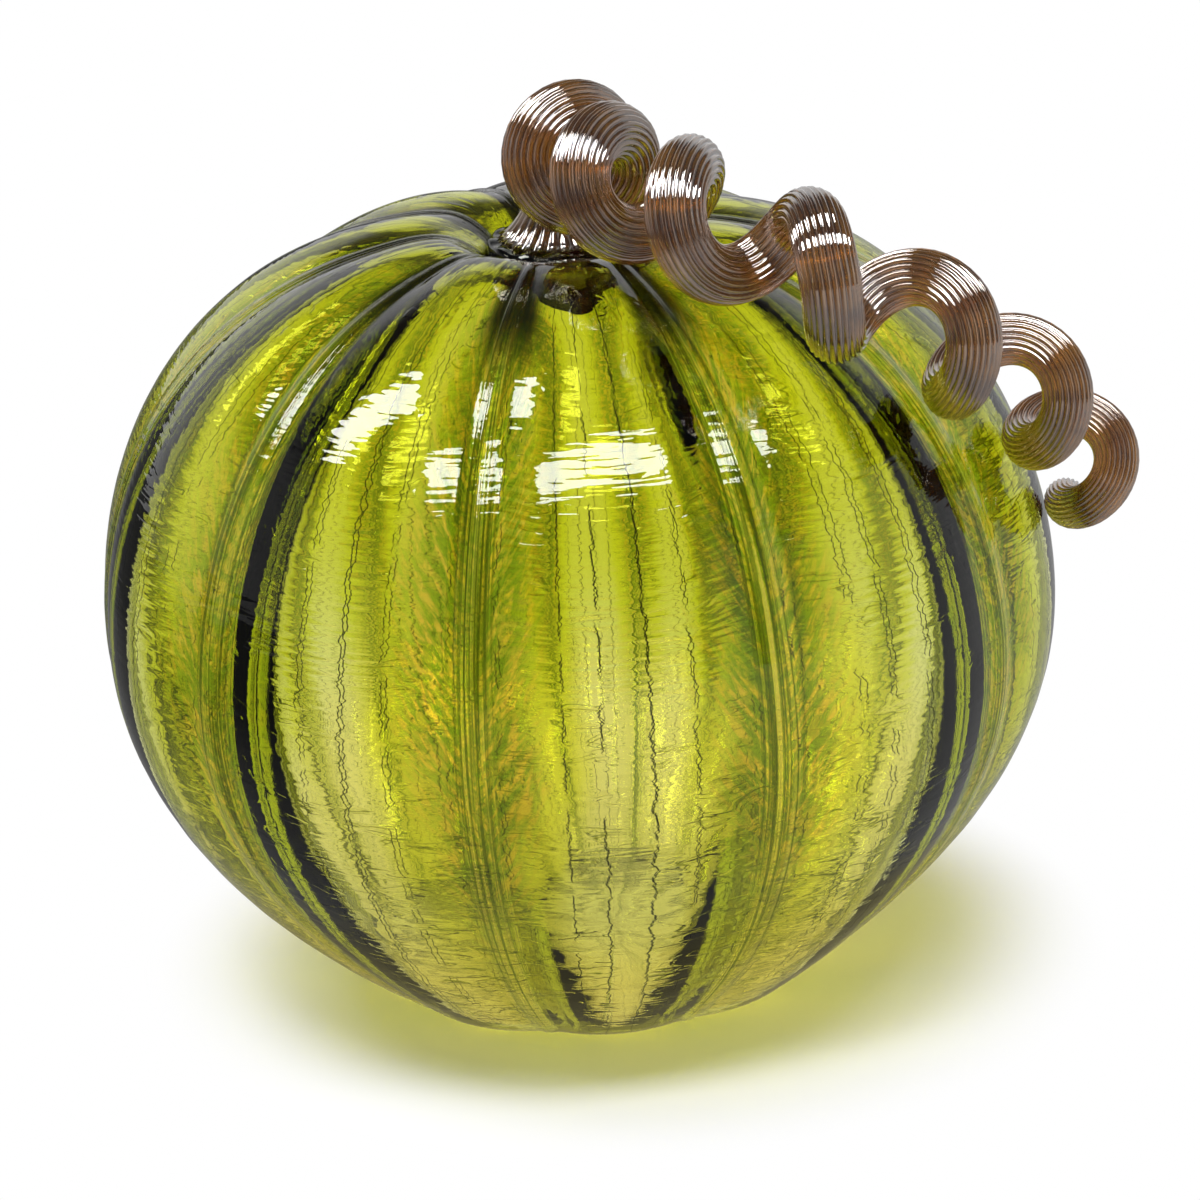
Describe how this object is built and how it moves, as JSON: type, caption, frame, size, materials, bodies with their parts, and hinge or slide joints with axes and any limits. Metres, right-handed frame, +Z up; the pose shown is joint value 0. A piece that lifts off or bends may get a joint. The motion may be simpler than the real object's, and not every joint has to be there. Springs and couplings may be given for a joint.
{
  "type": "glass pumpkin",
  "caption": "Hollow blown-glass pumpkin with ribbed lobes, a flat base to stand on and a fluted glass stem curled down over one shoulder.",
  "frame": {"origin": "middle of the flat base, on the plane the pumpkin stands on", "axes": "+Z up along the axis of the body; -Y is the side seen in the picture; the stem falls over the shoulder towards +X and -Y"},
  "size_m": [0.2484, 0.231, 0.2261],
  "materials": {
    "lime_glass": "blown glass, clear lime between the ribs and mottled olive and amber along them, glossy",
    "dark_amber_glass": "dark brown glass, pinched while hot, glossy",
    "amber_glass": "amber-brown glass cane with fine flutes, glossy"
  },
  "bodies": {
    "root": {"body_shell": "lime_glass", "stem_pad": "dark_amber_glass", "stem_curl": "amber_glass"}
  },
  "joints": []
}
